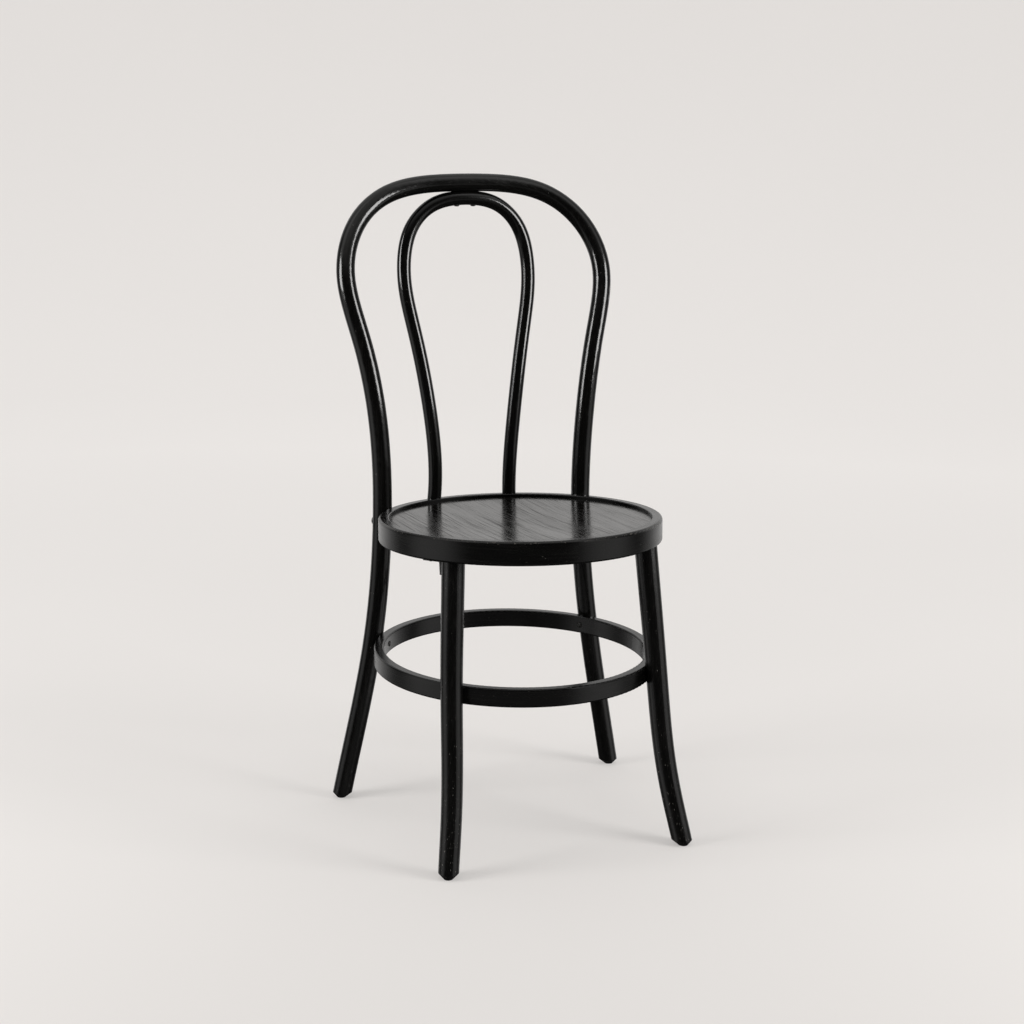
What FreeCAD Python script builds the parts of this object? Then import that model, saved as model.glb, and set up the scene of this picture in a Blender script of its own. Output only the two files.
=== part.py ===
import FreeCAD, Part
import Sketcher
import math
import os

# A bentwood bistro chair of steam-bent and turned beech, held together by screws and two bolts.
# Millimetres and degrees. +Z is up, the sitter faces -Y, and the origin is on the floor, below the
# middle of the chair's box. Left and right are as seen from the front: left is -X.

SIZES = {
    # Seat: a bent ring with a rebate that carries a thin pressed panel. It slopes down to the back.
    "seat_height": 444.0,           # top of the ring above the floor, at the seat's centre
    "seat_slope": 3.3,              # fall towards the back, in degrees
    "seat_centre_back": -19.5,      # the seat's centre, along Y
    "seat_radius": 200.0,
    "ring_height": 33.0,
    "ring_width": 38.0,
    "rim_width": 15.0,              # the part of the ring's top that shows round the panel
    "ring_top_round": 4.0,
    "rim_inner_round": 1.5,
    "ring_bottom_round": 3.5,
    "panel_drop": 4.5,              # from the rim down to the panel's edge
    "panel_thickness": 6.0,
    "panel_dish": 2.0,
    "panel_edge_flat": 24.0,
    "panel_clearance": 0.2,
    # Back hoop: one bent stick that is also both rear legs. Sizes that end in _out and _lean are
    # measured sideways and backwards from where the stick crosses the seat ring.
    "stick_foot_diameter": 28.0,
    "stick_seat_diameter": 28.0,
    "stick_crown_diameter": 25.8,
    "upright_angle": 47.7,          # where the stick crosses the seat ring, from straight back
    "upright_notch": 2.0,           # how deep the stick is cut for the seat ring
    "rear_leg_angle": 54.0,         # where the stick crosses the leg ring, from straight back
    "rear_foot_out": 61.2,
    "rear_foot_lean": 1.5,
    "back_rise": 448.0,             # from the seat's centre up to the middle of the crown
    "crown_lean": 91.5,
    "waist_rise": 126.0,            # above the seat's centre
    "waist_out": 6.6,
    "waist_lean": 5.0,
    "flank_drop": 212.0,            # below the crown, like every size that ends in _drop here
    "flank_out": 26.4,
    "flank_lean": 19.5,
    "shoulder_drop": 110.0,
    "shoulder_out": 41.0,
    "shoulder_lean": 45.5,
    "corner_drop": 30.0,
    "corner_out": -8.3,
    "corner_lean": 78.5,
    # Inner hoop: a thinner stick that fills the back, measured in the same way from its foot.
    "inner_diameter": 20.6,
    "inner_foot_angle": 17.9,
    "inner_foot_notch": 8.0,        # how deep the end is coped over the seat ring's outer edge
    "inner_foot_reach": 28.0,       # how far the end reaches down beside the ring
    "inner_waist_rise": 116.0,
    "inner_waist_out": 4.5,
    "inner_waist_lean": -0.6,
    "inner_flank_drop": 189.6,
    "inner_flank_out": 24.0,
    "inner_flank_lean": 16.4,
    "inner_shoulder_drop": 87.6,
    "inner_shoulder_out": 34.4,
    "inner_shoulder_lean": 34.4,
    "inner_corner_drop": 19.6,
    "inner_corner_out": 4.0,
    "inner_corner_lean": 41.9,
    "crown_bedding": 0.8,           # how far the inner hoop is scooped to bear on the back hoop
    "hoop_section_spacing": 50.0,   # between the round sections that shape a hoop
    # Front legs: turned and tapered, bent out a little at the foot. Sizes that end in _out and
    # _ahead are measured from the leg's top.
    "leg_top_diameter": 32.0,
    "leg_foot_diameter": 28.2,
    "leg_top_angle": 52.5,          # round the seat ring, from straight ahead
    "leg_top_inset": 20.0,          # from the seat ring's outer face to the leg's middle
    "leg_ring_angle": 45.6,         # round the leg ring, from straight ahead
    "leg_bend_height": 100.0,
    "leg_bend_out": 18.7,
    "leg_bend_ahead": 55.1,
    "front_foot_out": 33.0,
    "front_foot_ahead": 83.1,
    "leg_section_spacing": 60.0,
    "foot_chamfer": 8.0,            # on all four feet
    "leg_tenon_diameter": 22.0,
    "leg_tenon_length": 18.0,
    "tenon_clearance": 0.1,
    "tenon_end_gap": 1.0,
    # Leg ring: a bent strip inside the four legs.
    "leg_ring_overhang": 1.5,       # how far its outer face lies outside the seat ring's
    "leg_ring_centre_back": 11.0,
    "leg_ring_top": 248.5,
    "leg_ring_height": 25.5,
    "leg_ring_width": 14.0,
    "leg_ring_round": 2.2,
    "leg_ring_notch": 2.0,          # how deep the legs are cut for the ring
    # Bolts through the uprights and the seat ring, with a washer and a nut inside the ring.
    "bolt_diameter": 8.0,
    "bolt_head_diameter": 12.4,
    "bolt_head_height": 3.2,
    "bolt_neck_length": 4.0,
    "bolt_drop": 20.5,              # below the ring's top
    "bolt_sink": 1.8,
    "bolt_clearance": 0.2,
    "bolt_end": 3.0,                # what shows past the nut
    "bolt_chamfer": 1.0,
    "washer_diameter": 18.0,
    "washer_thickness": 1.6,
    "washer_sink": 1.0,
    "nut_width": 13.0,
    "nut_thickness": 6.5,
    "nut_face_diameter": 12.4,      # inside the bevel of its corners
    # Round-head wood screws.
    "screw_diameter": 4.0,
    "screw_head_diameter": 8.4,
    "screw_head_height": 2.6,
    "screw_tip": 4.0,
    "screw_sink": 1.1,
    "screw_slot_width": 1.0,
    "screw_slot_depth": 1.1,
    "screw_clearance": 0.2,
    "crown_screw_length": 32.0,
    "crown_screw_spread": 12.8,
    "foot_screw_length": 34.0,
    "foot_screw_drop": 17.0,
    "leg_ring_screw_length": 34.0,
    # Angle brackets behind the front legs, under the seat ring.
    "bracket_thickness": 2.5,
    "bracket_width": 16.0,
    "bracket_leg_arm": 20.0,
    "bracket_ring_arm": 28.0,
    "bracket_let_in": 1.0,
    "bracket_bend_round": 1.5,
    "bracket_leg_screw": 13.0,      # from the bend to the screw in each arm
    "bracket_ring_screw": 20.0,
    "bracket_screw_diameter": 3.2,
    "bracket_screw_head_diameter": 6.6,
    "bracket_screw_head_height": 2.0,
    "bracket_screw_length": 14.0,
}

os.makedirs("parts", exist_ok=True)
doc = FreeCAD.newDocument("bistro_chair")
sizes = doc.addObject("Spreadsheet::Sheet", "sizes")
for row, (name, value) in enumerate(SIZES.items(), start=1):
    sizes.set("A%d" % row, name)
    sizes.set("B%d" % row, str(value))
    sizes.setAlias("B%d" % row, name)
doc.recompute()

Vector = FreeCAD.Vector
UP = Vector(0, 0, 1)
BACKWARD = Vector(0, 1, 0)
SIDES = {"left": -1, "right": 1}
OVERSIZE = 400.0        # reach of the blocks that trim the sticks
STOCK = 14.0            # extra stick beyond a station, trimmed off later
HOOP_SEAM = 45.0        # degrees about the centreline, where no cut crosses the stick
LEG_SEAM = -90.0


def size(name):
    """A driving size, as the sheet holds it."""
    return float(getattr(sizes, name))


def bind(item, **expressions):
    """Tie properties of an object to sizes of the sheet."""
    for prop, expression in expressions.items():
        item.setExpression(prop, expression)


def finished():
    doc.recompute()


# Places on the chair

SEAT = FreeCAD.Placement(Vector(0, size("seat_centre_back"), size("seat_height")),
                         FreeCAD.Rotation(Vector(1, 0, 0), -size("seat_slope")))
LEG_RING = FreeCAD.Placement(
    Vector(0, size("seat_centre_back") + size("leg_ring_centre_back"), size("leg_ring_top")),
    FreeCAD.Rotation())


def radial(angle, facing):
    """Unit vector in a ring's plane, at an angle from straight back (facing 1) or ahead (-1)."""
    turn = math.radians(angle)
    return Vector(math.sin(turn), facing * math.cos(turn), 0)


def on_ring(ring, side, angle, facing, radius, drop):
    """A point beside a ring, in the chair's frame."""
    direction = radial(angle, facing)
    return ring.multVec(Vector(side * radius * direction.x, radius * direction.y, -drop))


def pointing(ring, side, angle, facing, radius, drop, inwards):
    """A placement beside a ring whose own +Z points along the ring's radius."""
    direction = radial(angle, facing)
    outward = ring.Rotation.multVec(Vector(side * direction.x, direction.y, 0))
    axis = outward * (-1 if inwards else 1)
    return FreeCAD.Placement(on_ring(ring, side, angle, facing, radius, drop),
                             FreeCAD.Rotation(UP, axis))


# Solids

def plane_of(body, role):
    return [item for item in body.Origin.OriginFeatures if item.Role == role][0]


def outline(body, name, role, corners, offset=None, arcs=()):
    """A closed sketch whose corners are expressions in the sheet's sizes.

    The sides numbered in arcs are arcs about a point on the vertical axis, and bulge downwards.
    """
    sketch = body.newObject("Sketcher::SketchObject", name)
    sketch.AttachmentSupport = [(plane_of(body, role), "")]
    sketch.MapMode = "FlatFace"
    if offset:
        sketch.setExpression("AttachmentOffset.Base.z", offset)
    points = [Vector(*[float(sizes.evalExpression(value)) for value in corner], 0) for corner in corners]
    count = len(points)
    starts = {}
    ends = {}
    for k in range(count):
        start, end = points[k], points[(k + 1) % count]
        starts[k], ends[k] = (1, 2)
        if k in arcs:
            if start.x > end.x:
                start, end = end, start
                starts[k], ends[k] = (2, 1)
            rise = end.y - start.y
            radius = (end.x ** 2 + rise ** 2) / (2 * rise)
            circle = Part.Circle(Vector(0, start.y + radius, 0), UP, radius)
            sweep = math.asin(end.x / radius)
            sketch.addGeometry(Part.ArcOfCircle(circle, -math.pi / 2, sweep - math.pi / 2), False)
            sketch.addConstraint(Sketcher.Constraint("PointOnObject", k, 3, -2))
        else:
            sketch.addGeometry(Part.LineSegment(start, end), False)
    for k in range(count):
        following = (k + 1) % count
        sketch.addConstraint(Sketcher.Constraint("Coincident", k, ends[k], following, starts[following]))
    for k, corner in enumerate(corners):
        for kind, expression, axis, value in (("DistanceX", corner[0], -2, points[k].x),
                                              ("DistanceY", corner[1], -1, points[k].y)):
            if expression == "0":
                sketch.addConstraint(Sketcher.Constraint("PointOnObject", k, starts[k], axis))
            else:
                number = sketch.addConstraint(Sketcher.Constraint(kind, -1, 1, k, starts[k], value))
                sketch.setExpression("Constraints[%d]" % number, expression)
    return sketch


def revolved(body, sketch):
    turn = body.newObject("PartDesign::Revolution", body.Name + "_turn")
    turn.Profile = sketch
    turn.ReferenceAxis = (sketch, ["V_Axis"])
    turn.Angle = 360
    finished()
    return turn


def rims(shape, radius, height):
    """Names of the circular edges at a height about a body's own axis."""
    found = []
    for number, edge in enumerate(shape.Edges, start=1):
        if not isinstance(edge.Curve, Part.Circle):
            continue
        centre = edge.Curve.Center
        if abs(edge.Curve.Radius - radius) < 1e-4 and abs(centre.z - height) < 1e-4:
            found.append("Edge%d" % number)
    return found


def rounded(body, base, radius, height, expression):
    """Round the circular edge of a given radius at a given height."""
    fillet = body.newObject("PartDesign::Fillet", body.Name + "_round")
    fillet.Base = (base, rims(base.Shape, radius, height))
    fillet.setExpression("Radius", expression)
    finished()
    return fillet


def cylinder(name, radius, height, placement):
    item = doc.addObject("Part::Cylinder", name)
    bind(item, Radius=radius, Height=height)
    item.Placement = placement
    return item


def cut(base, tools, label):
    """Cut the tools off the base, one by one."""
    for tool in tools:
        step = doc.addObject("Part::Cut", label + "_cut")
        step.Base = base
        step.Tool = tool
        step.Refine = False
        base = step
    base.Label = label
    finished()
    return base


def joined(name, pieces):
    """One tool made of several."""
    item = doc.addObject("Part::MultiFuse", name)
    item.Shapes = pieces
    item.Refine = False
    return item


def block(name, placement):
    """A large block above its placement's own XY plane, to trim a stick square."""
    item = doc.addObject("Part::Box", name)
    item.Length = OVERSIZE * 2
    item.Width = OVERSIZE * 2
    item.Height = OVERSIZE
    item.Placement = placement.multiply(
        FreeCAD.Placement(Vector(-OVERSIZE, -OVERSIZE, 0), FreeCAD.Rotation()))
    return item


def centreline(name, points):
    """A smooth curve through the stations of a bent stick."""
    curve = Part.BSplineCurve()
    curve.interpolate(points)
    item = doc.addObject("Part::Feature", name)
    item.Shape = curve.toShape()
    return item


def bent_stick(name, spine, spacing, seam, sections):
    """A round stick along a centreline. Sections are (share of the length, diameter).

    The seam is an angle about the centreline that keeps the surface's joint clear of every cut.
    """
    edge = spine.Shape.Edges[0]
    count = int(edge.Length / size(spacing)) + 1
    rings = []
    for number in range(count + 1):
        share = number / count
        before = [section for section in sections if section[0] <= share][-1]
        after = [section for section in sections if section[0] >= share][0]
        blend = (share - before[0]) / (after[0] - before[0]) if after[0] > before[0] else 0.0
        position = edge.getParameterByLength(share * edge.Length)
        ring = doc.addObject("Part::Circle", "%s_section_%d" % (name, number))
        bind(ring, Radius="(sizes.%s * %.6f + sizes.%s * %.6f) / 2"
             % (before[1], 1.0 - blend, after[1], blend))
        ring.Placement = FreeCAD.Placement(
            edge.valueAt(position),
            FreeCAD.Rotation(Vector(), BACKWARD, edge.tangentAt(position), "ZYX")
            .multiply(FreeCAD.Rotation(UP, seam)))
        rings.append(ring)
    stick = doc.addObject("Part::Loft", name)
    stick.Sections = rings
    stick.Solid = True
    stick.Ruled = False
    finished()
    return stick


def share_at(spine, point):
    """How far along a centreline a station lies, from 0 to 1."""
    edge = spine.Shape.Edges[0]
    return edge.Curve.length(edge.FirstParameter, edge.Curve.parameter(point)) / edge.Length


def chamfered_feet(stick):
    """Bevel the edges that bound the faces on the floor."""
    bevel = doc.addObject("Part::Chamfer", stick.Name + "_bevel")
    bevel.Base = stick
    amount = size("foot_chamfer")
    edges = []
    for number, edge in enumerate(stick.Shape.Edges, start=1):
        box = edge.BoundBox
        if abs(box.ZMin) < 1e-4 and abs(box.ZMax) < 1e-4:
            edges.append((number, amount, amount))
    bevel.Edges = edges
    finished()
    return bevel


def beyond(start, end, distance):
    """A point past the end of a line."""
    direction = (end - start).normalize()
    return end + direction * distance


FLOOR = block("floor", FreeCAD.Placement(Vector(0, 0, 0), FreeCAD.Rotation(Vector(1, 0, 0), 180)))


# Rings and panel

def ring_blank(name, placement, corners, rounds):
    """A bent ring before its holes, turned about its own axis."""
    body = doc.addObject("PartDesign::Body", name)
    last = revolved(body, outline(body, name + "_profile", "XZ_Plane", corners))
    for radius, height, expression in rounds:
        last = rounded(body, last, radius, height, expression)
    body.Placement = placement
    finished()
    return body


seat_inner = size("seat_radius") - size("ring_width")
rim_inner = size("seat_radius") - size("rim_width")
seat_blank = ring_blank(
    "seat_ring_blank", SEAT,
    [("sizes.seat_radius", "0"),
     ("sizes.seat_radius", "-sizes.ring_height"),
     ("sizes.seat_radius - sizes.ring_width", "-sizes.ring_height"),
     ("sizes.seat_radius - sizes.ring_width", "-sizes.panel_drop - sizes.panel_thickness"),
     ("sizes.seat_radius - sizes.rim_width", "-sizes.panel_drop - sizes.panel_thickness"),
     ("sizes.seat_radius - sizes.rim_width", "0")],
    [(size("seat_radius"), 0, "sizes.ring_top_round"),
     (rim_inner, 0, "sizes.rim_inner_round"),
     (size("seat_radius"), -size("ring_height"), "sizes.ring_bottom_round"),
     (seat_inner, -size("ring_height"), "sizes.ring_bottom_round")])

LEG_RING_OUTER = "sizes.seat_radius + sizes.leg_ring_overhang"
LEG_RING_INNER = LEG_RING_OUTER + " - sizes.leg_ring_width"
leg_ring_outer = size("seat_radius") + size("leg_ring_overhang")
leg_ring_inner = leg_ring_outer - size("leg_ring_width")
leg_ring_blank = ring_blank(
    "leg_ring_blank", LEG_RING,
    [(LEG_RING_OUTER, "0"),
     (LEG_RING_OUTER, "-sizes.leg_ring_height"),
     (LEG_RING_INNER, "-sizes.leg_ring_height"),
     (LEG_RING_INNER, "0")],
    [(radius, height, "sizes.leg_ring_round")
     for radius in (leg_ring_outer, leg_ring_inner)
     for height in (0, -size("leg_ring_height"))])

PANEL_RADIUS = "sizes.seat_radius - sizes.rim_width - sizes.panel_clearance"
PANEL_FLAT = PANEL_RADIUS + " - sizes.panel_edge_flat"
PANEL_TOP = "-sizes.panel_drop"
PANEL_UNDER = "-sizes.panel_drop - sizes.panel_thickness"
panel = doc.addObject("PartDesign::Body", "seat_panel")
revolved(panel, outline(panel, "panel_profile", "XZ_Plane",
                        [("0", PANEL_TOP + " - sizes.panel_dish"),
                         (PANEL_FLAT, PANEL_TOP),
                         (PANEL_RADIUS, PANEL_TOP),
                         (PANEL_RADIUS, PANEL_UNDER),
                         (PANEL_FLAT, PANEL_UNDER),
                         ("0", PANEL_UNDER + " - sizes.panel_dish")],
                        arcs=(0, 4)))
panel.Placement = SEAT
finished()


# Sticks

def mirrored_path(half):
    """Stations of one side, from the foot to the crown, and their mirror images."""
    return half + [Vector(-point.x, point.y, point.z) for point in reversed(half[:-1])]


def hoop_stations(foot, prefix, crown):
    """Stations of a hoop's left side, from above the seat to the crown."""
    stations = []
    for place in ("waist", "flank", "shoulder", "corner"):
        name = prefix + place
        if place == "waist":
            height = size("seat_height") + size(name + "_rise")
        else:
            height = crown.z - size(name + "_drop")
        stations.append(Vector(foot.x - size(name + "_out"), foot.y + size(name + "_lean"), height))
    return stations + [crown]


upright_reach = size("seat_radius") + size("stick_seat_diameter") / 2 - size("upright_notch")
rear_reach = leg_ring_outer + size("stick_foot_diameter") / 2 - size("leg_ring_notch")
upright = on_ring(SEAT, -1, size("upright_angle"), 1, upright_reach, size("ring_height") / 2)
crown = Vector(0, upright.y + size("crown_lean"), size("seat_height") + size("back_rise"))
rear_ring_station = on_ring(LEG_RING, -1, size("rear_leg_angle"), 1, rear_reach,
                            size("leg_ring_height") / 2)
rear_foot = Vector(upright.x - size("rear_foot_out"), upright.y + size("rear_foot_lean"), 0)
back_line = centreline("back_hoop_centreline", mirrored_path(
    [beyond(rear_ring_station, rear_foot, STOCK), rear_foot, rear_ring_station, upright]
    + hoop_stations(upright, "", crown)))
seat_share = share_at(back_line, upright)
back_stick = bent_stick("back_hoop_stick", back_line, "hoop_section_spacing", HOOP_SEAM,
                        [(0.0, "stick_foot_diameter"),
                         (seat_share, "stick_seat_diameter"),
                         (0.5, "stick_crown_diameter"),
                         (1.0 - seat_share, "stick_seat_diameter"),
                         (1.0, "stick_foot_diameter")])

crown_gap = (size("stick_crown_diameter") + size("inner_diameter")) / 2 - size("crown_bedding")
inner_crown = crown - UP * crown_gap
inner_reach = size("seat_radius") + size("inner_diameter") / 2 - size("inner_foot_notch")
inner_foot = on_ring(SEAT, -1, size("inner_foot_angle"), 1, inner_reach, size("inner_foot_reach"))
inner_line = centreline("inner_hoop_centreline",
                        mirrored_path([inner_foot] + hoop_stations(inner_foot, "inner_", inner_crown)))
inner_stick = bent_stick("inner_hoop_stick", inner_line, "hoop_section_spacing", HOOP_SEAM,
                         [(0.0, "inner_diameter"), (1.0, "inner_diameter")])

leg_taper = (size("leg_top_diameter") - size("leg_foot_diameter")) / size("seat_height")
leg_radius_at_ring = (size("leg_foot_diameter") + leg_taper * size("leg_ring_top")) / 2
leg_reach = leg_ring_outer + leg_radius_at_ring - size("leg_ring_notch")
leg_tops = {}
leg_sticks = {}
leg_lines = {}
for name, side in SIDES.items():
    top = on_ring(SEAT, side, size("leg_top_angle"), -1, size("seat_radius") - size("leg_top_inset"),
                  size("ring_height"))
    ring_station = on_ring(LEG_RING, side, size("leg_ring_angle"), -1, leg_reach,
                           size("leg_ring_height") / 2)
    bend = Vector(top.x + side * size("leg_bend_out"), top.y - size("leg_bend_ahead"),
                  size("leg_bend_height"))
    foot = Vector(top.x + side * size("front_foot_out"), top.y - size("front_foot_ahead"), 0)
    leg_tops[name] = top
    leg_lines[name] = centreline(
        "front_leg_%s_centreline" % name,
        [beyond(ring_station, top, STOCK), top, ring_station, bend, foot, beyond(bend, foot, STOCK)])
    leg_sticks[name] = bent_stick("front_leg_%s_stick" % name, leg_lines[name],
                                  "leg_section_spacing", LEG_SEAM,
                                  [(0.0, "leg_top_diameter"), (1.0, "leg_foot_diameter")])


# Fasteners

DOME = "0.9"            # share of a head's height that its rounding takes
TIP = "0.3"             # width of a shank's end, as a share of the shank
HEAD_ROOM = 12.0        # clear way outside a fastener's head
THROUGH = 40.0          # longer than any piece that a wood screw holds


def washer(label, placement):
    body = doc.addObject("PartDesign::Body", label)
    revolved(body, outline(body, label + "_profile", "XZ_Plane",
                           [("sizes.bolt_diameter / 2 + sizes.bolt_clearance", "0"),
                            ("sizes.washer_diameter / 2", "0"),
                            ("sizes.washer_diameter / 2", "sizes.washer_thickness"),
                            ("sizes.bolt_diameter / 2 + sizes.bolt_clearance",
                             "sizes.washer_thickness")]))
    body.Placement = placement
    return body


def nut(label, placement):
    """A hexagonal nut, with its bevelled corners, on its own +Z axis."""
    body = doc.addObject("PartDesign::Body", label)
    half = "sizes.nut_width / 2"
    corner = "sizes.nut_width / 2 / cos(30)"
    short = "sizes.nut_width / 2 * tan(30)"
    hexagon = outline(body, label + "_hexagon", "XY_Plane",
                      [(half, "-" + short), (half, short), ("0", corner),
                       ("-" + half, short), ("-" + half, "-" + short), ("0", "-" + corner)])
    pad = body.newObject("PartDesign::Pad", label + "_pad")
    pad.Profile = hexagon
    pad.setExpression("Length", "sizes.nut_thickness")
    finished()
    bevel = body.newObject("PartDesign::Groove", label + "_bevel")
    bevel.Profile = outline(body, label + "_bevel_profile", "XZ_Plane",
                            [("sizes.nut_face_diameter / 2", "sizes.nut_thickness"),
                             ("sizes.nut_width", "sizes.nut_thickness"),
                             ("sizes.nut_width", "sizes.nut_thickness"
                              " - (sizes.nut_width - sizes.nut_face_diameter / 2) * tan(30)")])
    bevel.ReferenceAxis = (bevel.Profile[0], ["V_Axis"])
    bevel.Angle = 360
    finished()
    bore = body.newObject("PartDesign::Groove", label + "_bore")
    bore.Profile = outline(body, label + "_bore_profile", "XZ_Plane",
                           [("0", "0"), ("sizes.bolt_diameter / 2", "0"),
                            ("sizes.bolt_diameter / 2", "sizes.nut_thickness"),
                            ("0", "sizes.nut_thickness")])
    bore.ReferenceAxis = (bore.Profile[0], ["V_Axis"])
    bore.Angle = 360
    finished()
    body.Placement = placement
    return body


def domed(label, head_radius, head_height, shank_radius, length, tip, slot, placement):
    """A fastener with a domed head below its own XY plane and its shank along +Z."""
    body = doc.addObject("PartDesign::Body", label)
    corners = [("0", "-" + head_height), (head_radius, "-" + head_height), (head_radius, "0"),
               (shank_radius, "0"), (shank_radius, "%s - %s" % (length, tip)),
               ("%s * %s" % (shank_radius, TIP), length), ("0", length)]
    last = revolved(body, outline(body, label + "_profile", "XZ_Plane", corners))
    top = min(last.Shape.Vertexes, key=lambda vertex: vertex.Z).Z
    widest = max(edge.Curve.Radius for edge in last.Shape.Edges if isinstance(edge.Curve, Part.Circle))
    last = rounded(body, last, widest, top, "%s * %s" % (head_height, DOME))
    if slot:
        groove = body.newObject("PartDesign::Pocket", label + "_slot")
        reach = "%s + sizes.screw_slot_width" % head_radius
        width = "sizes.screw_slot_width / 2"
        groove.Profile = outline(body, label + "_slot_outline", "XY_Plane",
                                 [(reach, width), ("-" + reach, width),
                                  ("-" + reach, "-" + width), (reach, "-" + width)],
                                 "-(%s)" % head_height)
        groove.setExpression("Length", "sizes.screw_slot_depth")
        groove.Reversed = True
        finished()
    body.Placement = placement
    return body


def carriage_bolt(label, placement):
    """A domed bolt with a square neck that stops it turning."""
    length = ("sizes.stick_seat_diameter - sizes.upright_notch - sizes.bolt_sink + sizes.ring_width"
              " - sizes.washer_sink + sizes.washer_thickness + sizes.nut_thickness + sizes.bolt_end")
    body = domed(label, "sizes.bolt_head_diameter / 2", "sizes.bolt_head_height",
                 "sizes.bolt_diameter / 2", "(%s)" % length, "sizes.bolt_chamfer", False, placement)
    neck = body.newObject("PartDesign::Pad", label + "_neck")
    half = "sizes.bolt_diameter / 2"
    neck.Profile = outline(body, label + "_neck_outline", "XY_Plane",
                           [(half, half), ("-" + half, half), ("-" + half, "-" + half),
                            (half, "-" + half)])
    neck.setExpression("Length", "sizes.bolt_neck_length")
    finished()
    return body


def wood_screw(label, length, placement):
    return domed(label, "sizes.screw_head_diameter / 2", "sizes.screw_head_height",
                 "sizes.screw_diameter / 2", "sizes.%s" % length, "sizes.screw_tip", True, placement)


def shifted(placement, distance):
    """The same placement, moved along its own +Z."""
    return placement.multiply(FreeCAD.Placement(Vector(0, 0, distance), FreeCAD.Rotation()))


def seat_for_head(name, radius, placement):
    """Tool for the flat that a fastener's head bears on. The head is on the -Z side."""
    return cylinder(name, radius, str(HEAD_ROOM), shifted(placement, -HEAD_ROOM))


def screw_way(name, placement):
    """Tool for a wood screw's head and its clearance hole, through the piece that it holds."""
    head = seat_for_head(name + "_head_way", "sizes.screw_head_diameter / 2 + sizes.screw_clearance",
                         placement)
    shank = cylinder(name + "_shank_way", "sizes.screw_diameter / 2 + sizes.screw_clearance",
                     str(THROUGH), placement)
    return joined(name + "_way", [head, shank])


# Bolts, washers and nuts

bolt_seat = upright_reach + size("stick_seat_diameter") / 2 - size("bolt_sink")
washer_seat = size("seat_radius") - size("ring_width") + size("washer_sink")
bolt_ways = []
washer_ways = []
for name, side in SIDES.items():
    place = pointing(SEAT, side, size("upright_angle"), 1, bolt_seat, size("bolt_drop"), True)
    washer_place = pointing(SEAT, side, size("upright_angle"), 1, washer_seat, size("bolt_drop"), True)
    carriage_bolt("back_bolt_" + name, place)
    washer("back_washer_" + name, washer_place)
    nut("back_nut_" + name, shifted(washer_place, size("washer_thickness")))
    shank_way = cylinder("bolt_shank_way_" + name, "sizes.bolt_diameter / 2 + sizes.bolt_clearance",
                         "sizes.stick_seat_diameter + sizes.ring_width", place)
    head_way = seat_for_head("bolt_head_way_" + name,
                             "sizes.bolt_head_diameter / 2 + sizes.bolt_clearance", place)
    neck_way = doc.addObject("Part::Box", "bolt_neck_way_" + name)
    wide = "sizes.bolt_diameter + 2 * sizes.bolt_clearance"
    bind(neck_way, Length=wide, Width=wide, Height="sizes.bolt_neck_length")
    half = size("bolt_diameter") / 2 + size("bolt_clearance")
    neck_way.Placement = place.multiply(FreeCAD.Placement(Vector(-half, -half, 0), FreeCAD.Rotation()))
    bolt_ways.append(joined("bolt_way_" + name, [shank_way, head_way, neck_way]))
    washer_way = cylinder("washer_face_way_" + name,
                          "sizes.washer_diameter / 2 + sizes.bolt_clearance", str(HEAD_ROOM), washer_place)
    washer_ways.append(joined("washer_way_" + name, [shank_way, washer_way]))

# Screws

inner_edge = inner_line.Shape.Edges[0]
hoop_screw_seat = size("inner_diameter") / 2 - size("screw_sink")
crown_screws = []
crown_ways = []
foot_screws = []
foot_ways = []
for name, side in SIDES.items():
    along = inner_edge.Length / 2 + side * size("crown_screw_spread")
    on_line = inner_edge.valueAt(inner_edge.getParameterByLength(along))
    place = FreeCAD.Placement(on_line - UP * hoop_screw_seat, FreeCAD.Rotation())
    crown_screws.append(wood_screw("crown_screw_" + name, "crown_screw_length", place))
    crown_ways.append(screw_way("crown_screw_" + name, place))
    place = pointing(SEAT, side, size("inner_foot_angle"), 1, inner_reach + hoop_screw_seat,
                     size("foot_screw_drop"), True)
    foot_screws.append(wood_screw("hoop_foot_screw_" + name, "foot_screw_length", place))
    foot_ways.append(screw_way("hoop_foot_screw_" + name, place))

ring_screws = {}
ring_ways = []
for end, facing, angle in (("front", -1, "leg_ring_angle"), ("rear", 1, "rear_leg_angle")):
    for name, side in SIDES.items():
        label = "leg_ring_screw_%s_%s" % (end, name)
        place = pointing(LEG_RING, side, size(angle), facing, leg_ring_inner + size("screw_sink"),
                         size("leg_ring_height") / 2, False)
        ring_screws[end, name] = wood_screw(label, "leg_ring_screw_length", place)
        ring_ways.append(screw_way(label, place))


# Brackets

def bracket_frame(name, side):
    """Where a bracket sits: its +X runs along the ring, its +Z is square to the seat."""
    angle = math.radians(size("leg_top_angle"))
    along = SEAT.Rotation.multVec(Vector(side * math.cos(angle), math.sin(angle), 0))
    normal = SEAT.Rotation.multVec(UP)
    origin = leg_tops[name] + along * (size("leg_top_diameter") / 2 - size("bracket_let_in"))
    return FreeCAD.Placement(origin, FreeCAD.Rotation(along, normal.cross(along), normal, "ZXY"))


def lean_beside(name, frame):
    """How far the leg moves along the bracket's +X per millimetre down."""
    line = leg_lines[name].Shape.Edges[0]
    down = frame.Rotation.inverted().multVec(line.tangentAt(line.FirstParameter))
    return -down.x / down.z


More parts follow.
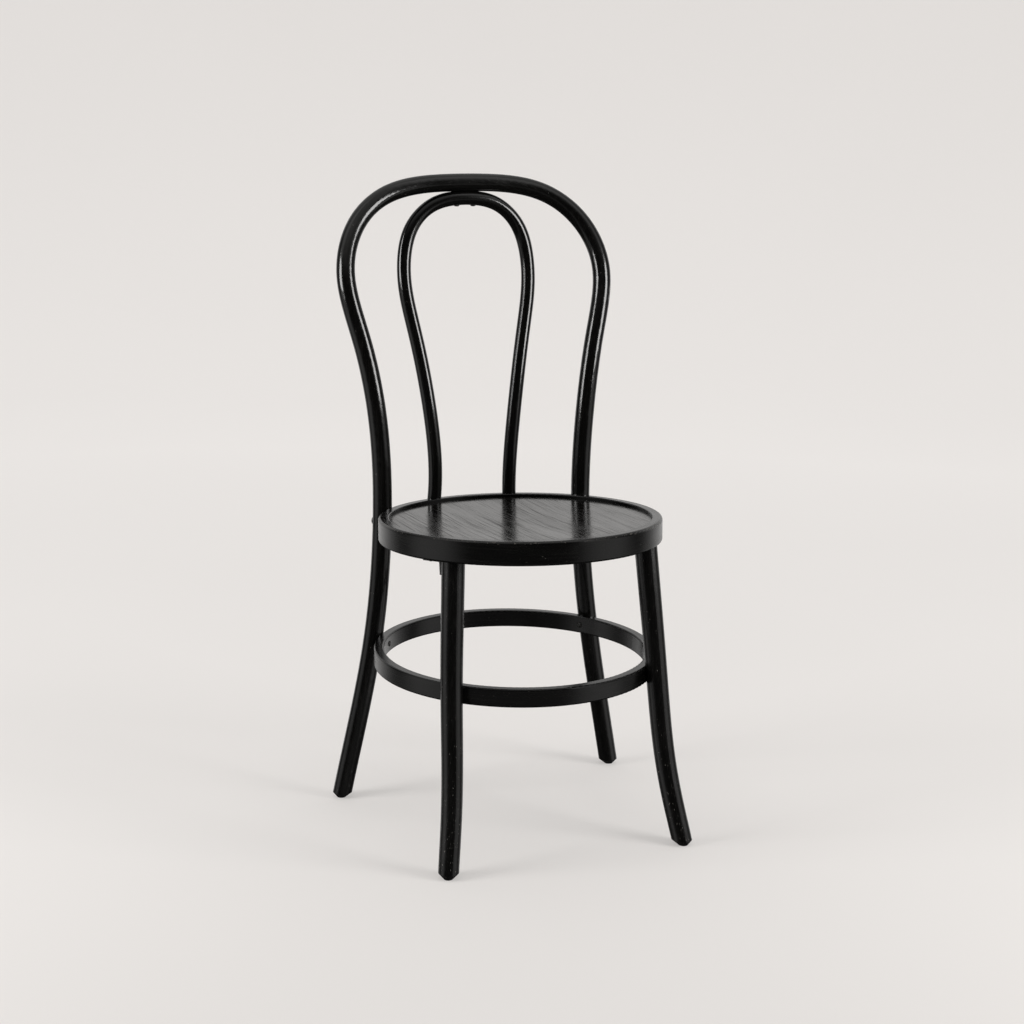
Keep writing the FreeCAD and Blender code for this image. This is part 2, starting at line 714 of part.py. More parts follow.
def bracket(name, frame, lean):
    """An angle of steel strip, bent to the lean of the leg."""
    label = "corner_bracket_" + name
    body = doc.addObject("PartDesign::Body", label)
    thick = "sizes.bracket_thickness"
    arm = "sizes.bracket_leg_arm"
    slope = "(%.6f)" % lean
    pad = body.newObject("PartDesign::Pad", label + "_strip")
    pad.Profile = outline(body, label + "_profile", "XZ_Plane",
                          [("0", "0"), ("sizes.bracket_ring_arm", "0"),
                           ("sizes.bracket_ring_arm", "-" + thick),
                           ("%s + %s * %s" % (thick, slope, thick), "-" + thick),
                           ("%s + %s * %s" % (thick, slope, arm), "-" + arm),
                           ("%s * %s" % (slope, arm), "-" + arm)])
    pad.setExpression("Length", "sizes.bracket_width")
    pad.Midplane = True
    finished()
    inside = size("bracket_thickness") * (1 + lean)
    bend = []
    for number, edge in enumerate(pad.Shape.Edges, start=1):
        ends = [vertex.Point for vertex in edge.Vertexes]
        for x, z in ((0, 0), (inside, -size("bracket_thickness"))):
            if all(abs(point.x - x) < 1e-4 and abs(point.z - z) < 1e-4 for point in ends):
                bend.append("Edge%d" % number)
    fillet = body.newObject("PartDesign::Fillet", label + "_bend")
    fillet.Base = (pad, bend)
    fillet.setExpression("Radius", "sizes.bracket_bend_round")
    finished()
    body.Placement = frame
    return body


def small_screw(label, place):
    return domed(label, "sizes.bracket_screw_head_diameter / 2", "sizes.bracket_screw_head_height",
                 "sizes.bracket_screw_diameter / 2", "sizes.bracket_screw_length",
                 "sizes.bracket_screw_diameter", False, place)


bracket_blanks = {}
small_screws = {}
for name, side in SIDES.items():
    frame = bracket_frame(name, side)
    lean = lean_beside(name, frame)
    bracket_blanks[name] = bracket(name, frame, lean)
    ring_spot = frame.multVec(Vector(size("bracket_ring_screw"), 0, -size("bracket_thickness")))
    leg_spot = frame.multVec(Vector(size("bracket_thickness") + lean * size("bracket_leg_screw"), 0,
                                    -size("bracket_leg_screw")))
    to_ring = frame.Rotation.multVec(UP)
    to_leg = frame.Rotation.multVec(Vector(-1, 0, -lean))
    small_screws[name] = [
        small_screw("bracket_ring_screw_" + name,
                    FreeCAD.Placement(ring_spot, FreeCAD.Rotation(UP, to_ring))),
        small_screw("bracket_leg_screw_" + name,
                    FreeCAD.Placement(leg_spot, FreeCAD.Rotation(UP, to_leg)))]

# Trim, notch and bore the wood

trimmed = chamfered_feet(cut(back_stick, [FLOOR], "back_hoop_trimmed"))
cut(trimmed, [seat_blank, leg_ring_blank] + bolt_ways + crown_screws
    + [ring_screws["rear", name] for name in SIDES], "back_hoop")

cut(inner_stick, [back_stick, seat_blank] + crown_ways + foot_ways, "inner_hoop")

seat_under = block("seat_underside", SEAT.multiply(
    FreeCAD.Placement(Vector(0, 0, -size("ring_height")), FreeCAD.Rotation())))
TENON_ROOT = 10.0       # how far a tenon's core reaches down into its leg
sockets = []
for name in SIDES:
    line = leg_lines[name].Shape.Edges[0]
    upwards = line.tangentAt(line.Curve.parameter(leg_tops[name])) * -1
    axis = FreeCAD.Placement(leg_tops[name], FreeCAD.Rotation(UP, upwards))
    sockets.append(cylinder("socket_" + name, "sizes.leg_tenon_diameter / 2 + sizes.tenon_clearance",
                            "sizes.leg_tenon_length + sizes.tenon_end_gap + %s" % TENON_ROOT,
                            shifted(axis, -TENON_ROOT)))
    tenon = cylinder("tenon_" + name, "sizes.leg_tenon_diameter / 2",
                     "sizes.leg_tenon_length + %s" % TENON_ROOT, shifted(axis, -TENON_ROOT))
    leg = chamfered_feet(cut(leg_sticks[name], [FLOOR], "front_leg_%s_trimmed" % name))
    leg = cut(leg, [seat_under, leg_ring_blank, bracket_blanks[name], small_screws[name][1],
                    ring_screws["front", name]], "front_leg_%s_shaft" % name)
    joined("front_leg_" + name, [leg, tenon])
    finished()

cut(seat_blank, sockets + washer_ways + foot_screws
    + [small_screws[name][0] for name in SIDES], "seat_ring")
cut(leg_ring_blank, ring_ways, "leg_ring")

for name in SIDES:
    blank = bracket_blanks[name]
    blank.Label = "corner_bracket_blank_" + name
    cut(blank, small_screws[name], "corner_bracket_" + name)
    group = doc.addObject("Part::Compound", "bracket_screws_" + name)
    group.Links = small_screws[name]
finished()

# Check and write

NODES = ["back_hoop", "inner_hoop", "seat_ring", "seat_panel", "leg_ring"]
for name in SIDES:
    NODES += [stem + name for stem in
              ("front_leg_", "back_bolt_", "back_washer_", "back_nut_", "crown_screw_",
               "hoop_foot_screw_", "leg_ring_screw_front_", "leg_ring_screw_rear_",
               "corner_bracket_", "bracket_screws_")]

for item in doc.Objects:
    if "Invalid" in item.State or "Error" in item.State:
        raise RuntimeError("%s failed: %s" % (item.Label, item.State))
for node in NODES:
    shape = doc.getObjectsByLabel(node)[0].Shape
    if shape.isNull() or not shape.isValid():
        raise RuntimeError("%s has no valid shape" % node)
    shape.exportStep("parts/%s.step" % node)
    print(node, len(shape.Solids), len(shape.Faces), round(shape.Volume))
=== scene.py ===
import math

import bmesh
import bpy
from mathutils import Matrix, Vector

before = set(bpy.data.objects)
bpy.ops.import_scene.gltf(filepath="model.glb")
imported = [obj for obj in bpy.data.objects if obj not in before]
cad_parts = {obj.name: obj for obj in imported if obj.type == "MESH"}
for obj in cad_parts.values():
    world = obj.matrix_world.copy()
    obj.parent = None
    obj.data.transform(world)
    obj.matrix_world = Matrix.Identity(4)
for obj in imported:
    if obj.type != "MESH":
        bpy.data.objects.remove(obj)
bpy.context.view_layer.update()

# Sizes are in metres and angles in degrees, in the CAD model's frame.

# Forms of the CAD model that the grain follows
HOOP_SPRING = 0.76              # height at which the hoops' sides turn into their crown
HOOP_RADIUS = 0.15
LEAST_RISE = 0.0001             # keeps the angle round the crown defined below it
RING_RADIUS = 0.2
SEAT_BACK = -0.0195             # the seat's centre, along Y
SEAT_HEIGHT = 0.444
SEAT_SLOPE = 3.3
LEG_RING_BACK = -0.0085         # the leg ring's centre, along Y

# Noise in wood: its scales along the grain, across it and in depth, its detail and its roughness
FINE_GRAIN = ((9.0, 420.0, 420.0), 4.0, 0.6)
BROAD_GRAIN = ((14.0, 60.0, 60.0), 3.0, 0.5)
SURFACE_WAVE = ((22.0, 26.0, 26.0), 2.0, 0.5)
NICKS = ((210.0, 560.0, 560.0), 2.0, 0.5)
PANEL_DRIFT = ((3.0, 7.0, 1.0), 2.0, 0.5)
PANEL_FINE = ((10.0, 330.0, 1.0), 5.0, 0.62)
PANEL_PORES = ((8.0, 700.0, 1.0), 4.0, 0.6)
PANEL_BROAD = ((5.0, 22.0, 1.0), 3.0, 0.5)

# Other noise: its scale, its detail and its roughness
STEEL_GRIT = (900.0, 3.0, 0.6)
STEEL_WEAR = (160.0, 3.0, 0.5)
ZINC_CRYSTALS = (420.0, 3.0, 0.55)
ZINC_GRIT = (2200.0, 2.0, 0.5)
PAPER_CLOUDS = (1.3, 2.0, 0.5)

# Lacquered wood: colours
LACQUER_DARK = (0.0014, 0.0014, 0.0013, 1.0)
LACQUER_LIGHT = (0.0030, 0.0029, 0.0027, 1.0)
LACQUER_STREAK = (0.007, 0.0066, 0.0060, 1.0)
BARE_WOOD = (0.100, 0.092, 0.080, 1.0)
STREAK_RANGE = (0.52, 0.72)     # the fine grain's noise that turns into streaks
STREAK_SHARE = 0.6

# Lacquered wood: gloss is the shader's roughness, and nicks show above a level of their noise
HOOP_GLOSS = 0.13
LEG_GLOSS = 0.22
RING_GLOSS = 0.24
GLOSS_SPREAD = 0.03
FINE_ROUGHNESS = 0.05
NICK_ROUGHNESS = 0.3
HOOP_NICKS = 0.755
LEG_NICKS = 0.752
SEAT_RING_NICKS = 0.745
LEG_RING_NICKS = 0.735
NICK_EDGE = 0.035
LACQUER_IOR = 1.5
WAVE_DEPTH = 0.00024
GRAIN_DEPTH = 0.000024
NICK_DEPTH = 0.00015

# Wear, which adds to the nicks' noise
WEAR_SHARE = 0.06
FOOT_WEAR = (0.05, 0.34)        # heights between which the legs' wear fades
RIM_WEAR = 2.4
RIM_WEAR_LEVEL = (-0.0045, -0.0020)
RIM_WEAR_REACH = (0.1965, 0.1985)

# Seat panel
PANEL_GRAIN_TURN = -91.0
PANEL_DRIFT_REACH = 0.028       # how far the grain drifts sideways
PANEL_DARK = (0.0030, 0.0028, 0.0026, 1.0)
PANEL_LIGHT = (0.0065, 0.0061, 0.0056, 1.0)
PANEL_TINT = (1.0, 0.96, 0.92, 1.0)
PANEL_GLOSS = (0.11, 0.19)
PANEL_FINE_ROUGHNESS = 0.07
PANEL_IOR = 1.55
PANEL_SPECULAR = (0.36, 0.10)   # between the pores, and in them
PANEL_SWELL_DEPTH = 0.00020
PORE_COLOUR = (0.0015, 0.0014, 0.0013, 1.0)
PORE_RANGE = (0.50, 0.68)
PORE_SHARE = 0.8
PORE_ROUGHNESS = 0.25
PORE_DEPTH = 0.00002
PATCH_RANGE = (0.35, 0.65)      # the broad grain's noise over which the pores open
PATCH_SHARE = (0.5, 1.0)

# Where a noise counts as low and high for the roughness
BROAD_RANGE = (0.3, 0.7)
FINE_RANGE = (0.4, 0.75)

# Fasteners
STEEL_BLACKENED = (0.012, 0.0115, 0.011, 1.0)
STEEL_WORN = (0.09, 0.088, 0.084, 1.0)
STEEL_WORN_RANGE = (0.58, 0.7)
STEEL_WORN_METALLIC = 0.8
STEEL_ROUGHNESS = (0.32, 0.5)
STEEL_GRIT_DEPTH = 0.00003
ZINC_DARK = (0.42, 0.42, 0.41, 1.0)
ZINC_LIGHT = (0.66, 0.66, 0.63, 1.0)
ZINC_ROUGHNESS = (0.28, 0.45)
ZINC_DEPTH = 0.00002

# Paper: painted light, a glow of its own that stands in for fill light; it is weakest near a dim
# spot in front of the chair
PAPER_LIGHT = (0.38, 0.369, 0.360)
PAPER_MOTTLE = 0.985
PAPER_ROUGHNESS = 0.9
PAPER_SPECULAR = 0.1
DIM_SPOT = (-0.6, -1.4, 0.0)
GLOW_REACH = (0.9, 4.2)
GLOW = (0.84, 1.38)
GLOW_FALL = 0.08                # what each metre of height takes off the glow

# Paper sweep: its flat floor, the bend up into the wall, and the wall's top
FLOOR_RINGS = (1.2, 2.4, 3.6)
SWEEP_BEND = 1.4
SWEEP_BEND_STEPS = 16
SWEEP_SIDES = 96
WALL_TOP = 2.6

# What the lacquer mirrors: turns are taken from the backdrop's middle, heights as sines
WORLD_COLOUR = (1.0, 0.985, 0.97, 1.0)
BACKDROP_WAY = (0.386, 0.923, 0.0)
BACKDROP_RIGHT = (0.923, -0.386, 0.0)
BACKDROP_HALF = 32.0
BACKDROP_EDGE = 42.0
BACKDROP_GLOW = 0.71
BACKDROP_FOOT = (-0.55, -0.20)
BACKDROP_FOOT_SHARE = (0.02, 1.0)
BACKDROP_HEAD = (0.35, 0.75)
BACKDROP_HEAD_SHARE = (1.0, 0.2)
SPILL_TURN = 106.0              # where the softboxes spill on the paper at each side
SPILL_HALF = 8.0
SPILL_EDGE = 26.0
SPILL_GLOW = 0.50
SPILL_FOOT = (-0.50, -0.34)
SPILL_FOOT_SHARE = (0.05, 1.0)
CEILING_RISE = (0.35, 0.95)
CEILING_GLOW = 0.50
GROUND_GLOW = 0.02              # the ground straight below, in the chair's shade
GROUND_EDGE = (-0.48, -0.38)
SKIRT_GLOW = 0.13               # the floor round that shade
SKIRT_EDGE = (-0.30, -0.14)
FRONT_GLOW = 0.01               # all that is further out, in front of the chair

# Softboxes: name, place, target, width and height, watts, whether mirrored, pieces left out
LAMP_COLOUR = (1.0, 0.99, 0.98)
FLAT_PIECES = ("seat_panel", "seat_ring", "leg_ring")
SOFTBOXES = (
    ("overhead_softbox", (0.2, 0.3, 3.2), (0.1, 0.1, 0.0), (4.0, 4.0), 18.0, False, ()),
    ("left_softbox", (-2.40, 0.11, 1.30), (0.0, 0.0, 1.30), (1.0, 1.24), 44.0, True, FLAT_PIECES),
    ("right_softbox", (1.77, -1.63, 1.30), (0.0, 0.0, 1.30), (1.0, 1.24), 44.0, True, FLAT_PIECES),
)

# Camera, fitted to the chair's outlines in the photograph
CAMERA_PLACE = (-1.0859, -2.5947, 1.0990)
CAMERA_WAY = (0.37463, 0.89904, -0.22665)
CAMERA_RIGHT = (0.92458, -0.38052, 0.01884)
SENSOR_WIDTH = 36.0             # in millimetres
FOCAL_PIXELS = 2037.0
PHOTO_PIXELS = 1024.0


class Nodes:
    """A node tree, with short calls that add and link nodes."""

    def __init__(self, tree):
        self.tree = tree

    def add(self, kind, **settings):
        node = self.tree.nodes.new(kind)
        for name, value in settings.items():
            setattr(node, name, value)
        return node

    def link(self, source, target):
        self.tree.links.new(source, target)

    def feed(self, socket, value):
        """Set a socket to a number or colour, or link it to another socket."""
        if isinstance(value, bpy.types.NodeSocket):
            self.link(value, socket)
        else:
            socket.default_value = value

    def feed_all(self, node, values):
        """Feed a node's first sockets in their order."""
        for socket, value in zip(node.inputs, values):
            self.feed(socket, value)

    def math(self, operation, *values):
        node = self.add("ShaderNodeMath", operation=operation)
        self.feed_all(node, values)
        return node.outputs[0]

    def hypotenuse(self, x, y):
        squares = self.math("ADD", self.math("POWER", x, 2.0), self.math("POWER", y, 2.0))
        return self.math("SQRT", squares)

    def vector_math(self, operation, first, second):
        """An operation on two vectors that gives a number."""
        node = self.add("ShaderNodeVectorMath", operation=operation)
        self.feed_all(node, (first, second))
        return node.outputs["Value"]

    def combine(self, *parts):
        node = self.add("ShaderNodeCombineXYZ")
        self.feed_all(node, parts)
        return node.outputs[0]

    def split(self, vector):
        node = self.add("ShaderNodeSeparateXYZ")
        self.link(vector, node.inputs[0])
        return node.outputs

    def noise(self, vector, scale, detail, roughness):
        node = self.add("ShaderNodeTexNoise")
        self.link(vector, node.inputs["Vector"])
        for name, number in (("Scale", scale), ("Detail", detail), ("Roughness", roughness)):
            node.inputs[name].default_value = number
        return node.outputs["Fac"]

    def grain(self, place, scales, detail, roughness):
        """Noise drawn out along the wood, from a place and scales along, across and in depth."""
        scaled = [self.math("MULTIPLY", part, scale) for part, scale in zip(place, scales)]
        return self.noise(self.combine(*scaled), 1.0, detail, roughness)

    def remap(self, value, given, wanted, smooth=False):
        """Turn one range of numbers into another, and stop at its ends."""
        style = "SMOOTHSTEP" if smooth else "LINEAR"
        node = self.add("ShaderNodeMapRange", clamp=True, interpolation_type=style)
        self.link(value, node.inputs["Value"])
        for name, number in zip(("From Min", "From Max", "To Min", "To Max"), given + wanted):
            node.inputs[name].default_value = number
        return node.outputs["Result"]

    def mix(self, share, first, second):
        node = self.add("ShaderNodeMix", data_type="RGBA")
        colours = [socket for socket in node.inputs if socket.type == "RGBA"]
        self.feed(node.inputs["Factor"], share)
        self.feed(colours[0], first)
        self.feed(colours[1], second)
        return [socket for socket in node.outputs if socket.type == "RGBA"][0]

    def bump(self, height, depth, normal=None):
        node = self.add("ShaderNodeBump")
        node.inputs["Distance"].default_value = depth
        self.link(height, node.inputs["Height"])
        if normal:
            self.link(normal, node.inputs["Normal"])
        return node.outputs["Normal"]

    def coordinates(self, kind):
        return self.add("ShaderNodeTexCoord").outputs[kind]


class Finish(Nodes):
    """A material with one shader."""

    def __init__(self, name):
        self.material = bpy.data.materials.new(name)
        self.material.use_nodes = True
        super().__init__(self.material.node_tree)
        self.tree.nodes.clear()
        output = self.add("ShaderNodeOutputMaterial")
        self.shader = self.add("ShaderNodeBsdfPrincipled")
        self.link(self.shader.outputs["BSDF"], output.inputs["Surface"])

    def place(self):
        return self.coordinates("Object")

    def give(self, values):
        """Feed the shader's inputs by name, and return the material."""
        for name, value in values.items():
            self.feed(self.shader.inputs[name], value)
        return self.material


# Grain: a place on a piece, along the grain, across it and in depth

def hoop_grain(finish):
    """Straight up a hoop's sides and round its crown."""
    x, y, z = finish.split(finish.place())
    above = finish.math("MAXIMUM", finish.math("SUBTRACT", z, HOOP_SPRING), LEAST_RISE)
    round_crown = finish.math("MULTIPLY", finish.math("ARCTAN2", x, above), HOOP_RADIUS)
    up_side = finish.math("MINIMUM", z, HOOP_SPRING)
    return finish.math("SUBTRACT", round_crown, up_side), finish.hypotenuse(x, above), y


def ring_grain(finish, centre_back):
    """Round a ring with its centre at X = 0."""
    x, y, z = finish.split(finish.place())
    back = finish.math("SUBTRACT", y, centre_back)
    along = finish.math("MULTIPLY", finish.math("ARCTAN2", x, back), RING_RADIUS)
    return along, finish.hypotenuse(x, back), z


def seat_ring_grain(finish):
    return ring_grain(finish, SEAT_BACK)


def leg_ring_grain(finish):
    return ring_grain(finish, LEG_RING_BACK)


def leg_grain(finish):
    """Straight up a leg."""
    x, y, z = finish.split(finish.place())
    return z, x, y


# Wear: how much more nicked each place on a piece is

def foot_wear(finish):
    """More nicks towards a leg's foot."""
    height = finish.split(finish.place())[2]
    return finish.remap(height, FOOT_WEAR, (1.0, 0.0))


def rim_wear(finish):
    """Chips along the seat ring's upper outer edge."""
    x, y, z = finish.split(finish.place())
    back = finish.math("SUBTRACT", y, SEAT_BACK)
    fall = finish.math("MULTIPLY", back, math.tan(math.radians(SEAT_SLOPE)))
    level = finish.math("ADD", finish.math("SUBTRACT", z, SEAT_HEIGHT), fall)
    near_top = finish.remap(level, RIM_WEAR_LEVEL, (0.0, 1.0))
    near_edge = finish.remap(finish.hypotenuse(x, back), RIM_WEAR_REACH, (0.0, RIM_WEAR))
    return finish.math("MULTIPLY", near_top, near_edge)


# Materials

def lacquered_wood(name, grain_place, gloss, nicks, wear=None):
    """Black lacquer over bent beech: fine grain, soft waves and small pale nicks."""
    finish = Finish(name)
    place = grain_place(finish)
    fine = finish.grain(place, *FINE_GRAIN)
    broad = finish.grain(place, *BROAD_GRAIN)
    wave = finish.grain(place, *SURFACE_WAVE)
    speck = finish.grain(place, *NICKS)
    if wear:
        speck = finish.math("ADD", speck, finish.math("MULTIPLY", wear(finish), WEAR_SHARE))
    nicked = finish.remap(speck, (nicks, nicks + NICK_EDGE), (0.0, 1.0))

    base = finish.mix(broad, LACQUER_DARK, LACQUER_LIGHT)
    streaked = finish.mix(finish.remap(fine, STREAK_RANGE, (0.0, STREAK_SHARE)),
                          base, LACQUER_STREAK)
    gloss_range = (gloss - GLOSS_SPREAD, gloss + GLOSS_SPREAD)
    satin = finish.math("ADD", finish.remap(broad, BROAD_RANGE, gloss_range),
                        finish.remap(fine, FINE_RANGE, (0.0, FINE_ROUGHNESS)))
    waves = finish.bump(wave, WAVE_DEPTH)
    lines = finish.bump(fine, GRAIN_DEPTH, waves)
    return finish.give({
        "Base Color": finish.mix(nicked, streaked, BARE_WOOD),
        "Roughness": finish.math("ADD", satin, finish.math("MULTIPLY", nicked, NICK_ROUGHNESS)),
        "IOR": LACQUER_IOR,
        "Normal": finish.bump(finish.math("SUBTRACT", 1.0, nicked), NICK_DEPTH, lines),
    })


def panel_wood(name):
    """Black lacquer over a pressed veneer panel: open grain in long fine streaks."""
    finish = Finish(name)
    x, y, z = finish.split(finish.place())
    cosine = math.cos(math.radians(PANEL_GRAIN_TURN))
    sine = math.sin(math.radians(PANEL_GRAIN_TURN))
    along = finish.math("ADD", finish.math("MULTIPLY", x, cosine), finish.math("MULTIPLY", y, sine))
    across = finish.math("SUBTRACT", finish.math("MULTIPLY", y, cosine),
                         finish.math("MULTIPLY", x, sine))
    drift = finish.grain((along, across, z), *PANEL_DRIFT)
    bent = finish.math("ADD", across, finish.math("MULTIPLY", drift, PANEL_DRIFT_REACH))
    place = (along, bent, z)
    fine = finish.grain(place, *PANEL_FINE)
    pores = finish.grain(place, *PANEL_PORES)
    broad = finish.grain(place, *PANEL_BROAD)
    pits = finish.math("MULTIPLY", finish.remap(pores, PORE_RANGE, (0.0, 1.0)),
                       finish.remap(broad, PATCH_RANGE, PATCH_SHARE))

    satin = finish.math("ADD", finish.remap(broad, BROAD_RANGE, PANEL_GLOSS),
                        finish.remap(fine, FINE_RANGE, (0.0, PANEL_FINE_ROUGHNESS)))
    swell = finish.bump(broad, PANEL_SWELL_DEPTH)
    return finish.give({
        "Base Color": finish.mix(finish.math("MULTIPLY", pits, PORE_SHARE),
                                 finish.mix(broad, PANEL_DARK, PANEL_LIGHT), PORE_COLOUR),
        "Roughness": finish.math("ADD", satin, finish.math("MULTIPLY", pits, PORE_ROUGHNESS)),
        "Specular IOR Level": finish.remap(pits, (0.0, 1.0), PANEL_SPECULAR),
        "Specular Tint": PANEL_TINT,
        "IOR": PANEL_IOR,
        "Normal": finish.bump(finish.math("SUBTRACT", 1.0, pits), PORE_DEPTH, swell),
    })


def dark_steel(name):
    """Blackened steel with paint worn thin on its high spots."""
    finish = Finish(name)
    place = finish.place()
    grit = finish.noise(place, *STEEL_GRIT)
    worn = finish.remap(finish.noise(place, *STEEL_WEAR), STEEL_WORN_RANGE, (0.0, 1.0))
    return finish.give({
        "Base Color": finish.mix(worn, STEEL_BLACKENED, STEEL_WORN),
        "Roughness": finish.remap(grit, BROAD_RANGE, STEEL_ROUGHNESS),
        "Metallic": finish.math("MULTIPLY", worn, STEEL_WORN_METALLIC),
        "Normal": finish.bump(grit, STEEL_GRIT_DEPTH),
    })


def plated_steel(name):
    """Zinc-plated steel with a faint crystal mottle."""
    finish = Finish(name)
    place = finish.place()
    mottle = finish.noise(place, *ZINC_CRYSTALS)
    fine = finish.noise(place, *ZINC_GRIT)
    return finish.give({
        "Base Color": finish.mix(mottle, ZINC_DARK, ZINC_LIGHT),
        "Metallic": 1.0,
        "Roughness": finish.remap(mottle, BROAD_RANGE, ZINC_ROUGHNESS),
        "Normal": finish.bump(fine, ZINC_DEPTH),
    })


def paper_with_painted_glow(name):
    """Pale paper with a faint mottle and a painted glow that stands in for fill light, weakest in
    front of the chair.
    """
    finish = Finish(name)
    place = finish.place()
    light = PAPER_LIGHT + (1.0,)
    dark = tuple(channel * PAPER_MOTTLE for channel in PAPER_LIGHT) + (1.0,)
    shade = finish.mix(finish.noise(place, *PAPER_CLOUDS), light, dark)
    # Painted light: the glow grows away from the dim spot and drops with height, a painted pool of
    # fill light
    glow = finish.remap(finish.vector_math("DISTANCE", place, DIM_SPOT), GLOW_REACH, GLOW)
    fall = finish.math("MULTIPLY", finish.split(place)[2], GLOW_FALL)
    return finish.give({
        "Base Color": shade,
        "Emission Color": shade,
        "Emission Strength": finish.math("SUBTRACT", glow, fall),
        "Roughness": PAPER_ROUGHNESS,
        "Specular IOR Level": PAPER_SPECULAR,
    })


def paint(node, material):
    """Give a CAD node its material."""
    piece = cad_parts[node]
    if not piece.material_slots:
        piece.data.materials.append(material)
    for slot in piece.material_slots:
        slot.material = material


def paint_chair():
    """Give every CAD node the material of its kind."""
    hoop = lacquered_wood("hoop_lacquer", hoop_grain, HOOP_GLOSS, HOOP_NICKS)
    leg = lacquered_wood("leg_lacquer", leg_grain, LEG_GLOSS, LEG_NICKS, foot_wear)
    seat_ring = lacquered_wood("seat_ring_lacquer", seat_ring_grain, RING_GLOSS,
                               SEAT_RING_NICKS, rim_wear)
    leg_ring = lacquered_wood("leg_ring_lacquer", leg_ring_grain, RING_GLOSS, LEG_RING_NICKS)
    wood = {
        "back_hoop": hoop,
        "inner_hoop": hoop,
        "seat_ring": seat_ring,
        "seat_panel": panel_wood("panel_lacquer"),
        "leg_ring": leg_ring,
        "front_leg_left": leg,
        "front_leg_right": leg,
    }
    blackened = dark_steel("blackened_fastener")
    zinc = plated_steel("zinc_fastener")
    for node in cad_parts:
        plated = "washer" in node or "nut" in node
        paint(node, wood.get(node, zinc if plated else blackened))


# Studio

def studio_sweep():
    """A round paper floor that curves up into a wall all round. The lacquer doesn't mirror it."""
    flat = FLOOR_RINGS[-1]
    profile = [(reach, 0.0) for reach in FLOOR_RINGS]
    for step in range(1, SWEEP_BEND_STEPS + 1):
        turn = math.radians(90.0 * step / SWEEP_BEND_STEPS)
        profile.append((flat + SWEEP_BEND * math.sin(turn), SWEEP_BEND * (1.0 - math.cos(turn))))
    profile.append((flat + SWEEP_BEND, WALL_TOP))

    mesh = bmesh.new()
    turns = [2 * math.pi * side / SWEEP_SIDES for side in range(SWEEP_SIDES)]
    rings = []
    for reach, rise in profile:
        rings.append([mesh.verts.new((reach * math.cos(turn), reach * math.sin(turn), rise))
                      for turn in turns])
    middle = mesh.verts.new((0.0, 0.0, 0.0))
    for here in range(SWEEP_SIDES):
        there = (here + 1) % SWEEP_SIDES
        mesh.faces.new((middle, rings[0][here], rings[0][there]))
        for inner, outer in zip(rings, rings[1:]):
            mesh.faces.new((inner[here], outer[here], outer[there], inner[there]))
    for face in mesh.faces:
        face.smooth = True

    data = bpy.data.meshes.new("studio_sweep")
    mesh.to_mesh(data)
    mesh.free()
    data.materials.append(paper_with_painted_glow("warm_grey_paper_painted_glow"))
    sweep = bpy.data.objects.new("studio_sweep", data)
    sweep.visible_glossy = False
    bpy.context.collection.objects.link(sweep)


def softbox(name, place, target, box_size, watts, mirrored, left_out):
    """A rectangular light. It would glare on flat lacquer seen from the side, so it can leave
    pieces out."""
    data = bpy.data.lights.new(name, "AREA")
    data.shape = "RECTANGLE"
    data.size, data.size_y = box_size
    data.energy = watts
    data.color = LAMP_COLOUR
    lamp = bpy.data.objects.new(name, data)
    lamp.location = place
    lamp.rotation_euler = (Vector(target) - Vector(place)).to_track_quat("-Z", "Y").to_euler()
    lamp.visible_glossy = mirrored
    bpy.context.collection.objects.link(lamp)
    if left_out:
        receivers = bpy.data.collections.new(name + "_shade")
        lamp.light_linking.receiver_collection = receivers
        for node in left_out:
            receivers.objects.link(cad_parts[node])
        for member in receivers.collection_objects:
            member.light_linking.link_state = "EXCLUDE"


def upright_band(nodes, turn, centre, half, edge, glow):
    """A soft-edged upright band of light, from its middle, half width and edge."""
    off = nodes.math("ABSOLUTE", nodes.math("SUBTRACT", turn, math.radians(centre)))
    fade = (math.radians(half), math.radians(half + edge))
    return nodes.remap(off, fade, (glow, 0.0), smooth=True)


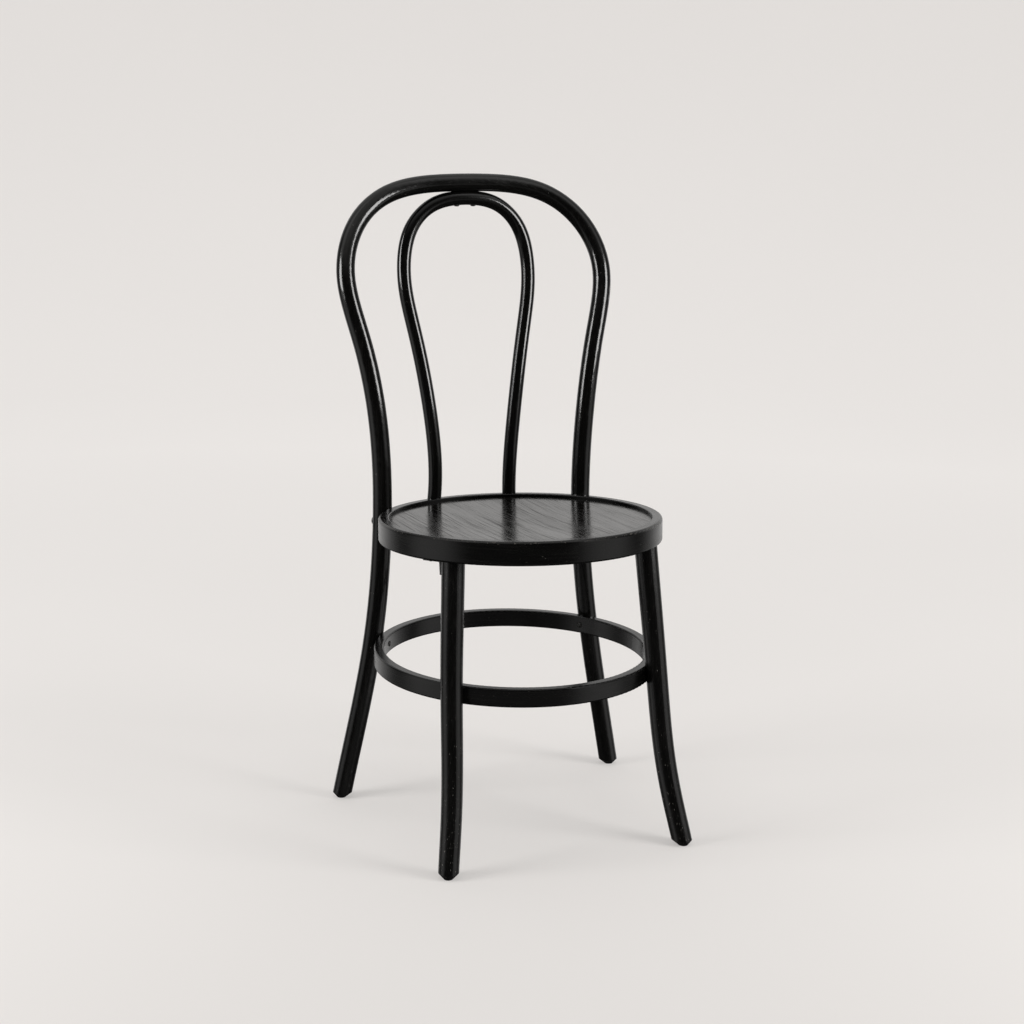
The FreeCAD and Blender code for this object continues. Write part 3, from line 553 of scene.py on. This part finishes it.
def studio_world():
    """What the lacquer mirrors besides the softboxes: a bright wall behind, dark in front."""
    world = bpy.data.worlds.new("studio_light")
    world.use_nodes = True
    nodes = Nodes(world.node_tree)
    direction = nodes.coordinates("Generated")
    turn = nodes.math("ARCTAN2", nodes.vector_math("DOT_PRODUCT", direction, BACKDROP_RIGHT),
                      nodes.vector_math("DOT_PRODUCT", direction, BACKDROP_WAY))
    height = nodes.vector_math("DOT_PRODUCT", direction, (0.0, 0.0, 1.0))

    def by_height(given, wanted):
        return nodes.remap(height, given, wanted, smooth=True)

    backdrop = upright_band(nodes, turn, 0.0, BACKDROP_HALF, BACKDROP_EDGE, BACKDROP_GLOW)
    backdrop = nodes.math("MULTIPLY", backdrop, by_height(BACKDROP_FOOT, BACKDROP_FOOT_SHARE))
    backdrop = nodes.math("MULTIPLY", backdrop, by_height(BACKDROP_HEAD, BACKDROP_HEAD_SHARE))
    spill = nodes.math("ADD",
                       upright_band(nodes, turn, -SPILL_TURN, SPILL_HALF, SPILL_EDGE, SPILL_GLOW),
                       upright_band(nodes, turn, SPILL_TURN, SPILL_HALF, SPILL_EDGE, SPILL_GLOW))
    spill = nodes.math("MULTIPLY", spill, by_height(SPILL_FOOT, SPILL_FOOT_SHARE))
    ceiling = by_height(CEILING_RISE, (0.0, CEILING_GLOW))
    floor = nodes.math("MINIMUM", by_height(GROUND_EDGE, (GROUND_GLOW, SKIRT_GLOW)),
                       by_height(SKIRT_EDGE, (SKIRT_GLOW, FRONT_GLOW)))
    total = backdrop
    for glow in (spill, ceiling, floor):
        total = nodes.math("ADD", total, glow)

    background = world.node_tree.nodes["Background"]
    background.inputs["Color"].default_value = WORLD_COLOUR
    nodes.link(total, background.inputs["Strength"])
    bpy.context.scene.world = world


def photo_camera():
    """The camera that sees the chair as the photograph does."""
    forward = Vector(CAMERA_WAY).normalized()
    right = Vector(CAMERA_RIGHT)
    right = (right - forward * right.dot(forward)).normalized()
    up = right.cross(forward)
    data = bpy.data.cameras.new("photo_camera")
    data.sensor_fit = "HORIZONTAL"
    data.sensor_width = SENSOR_WIDTH
    data.lens = SENSOR_WIDTH * FOCAL_PIXELS / PHOTO_PIXELS
    camera = bpy.data.objects.new("photo_camera", data)
    turn = Matrix((right, up, -forward)).transposed().to_4x4()
    camera.matrix_world = Matrix.Translation(Vector(CAMERA_PLACE)) @ turn
    bpy.context.collection.objects.link(camera)
    bpy.context.scene.camera = camera


paint_chair()
studio_sweep()
studio_world()
for box in SOFTBOXES:
    softbox(*box)
photo_camera()
bpy.context.scene.view_settings.view_transform = "Standard"
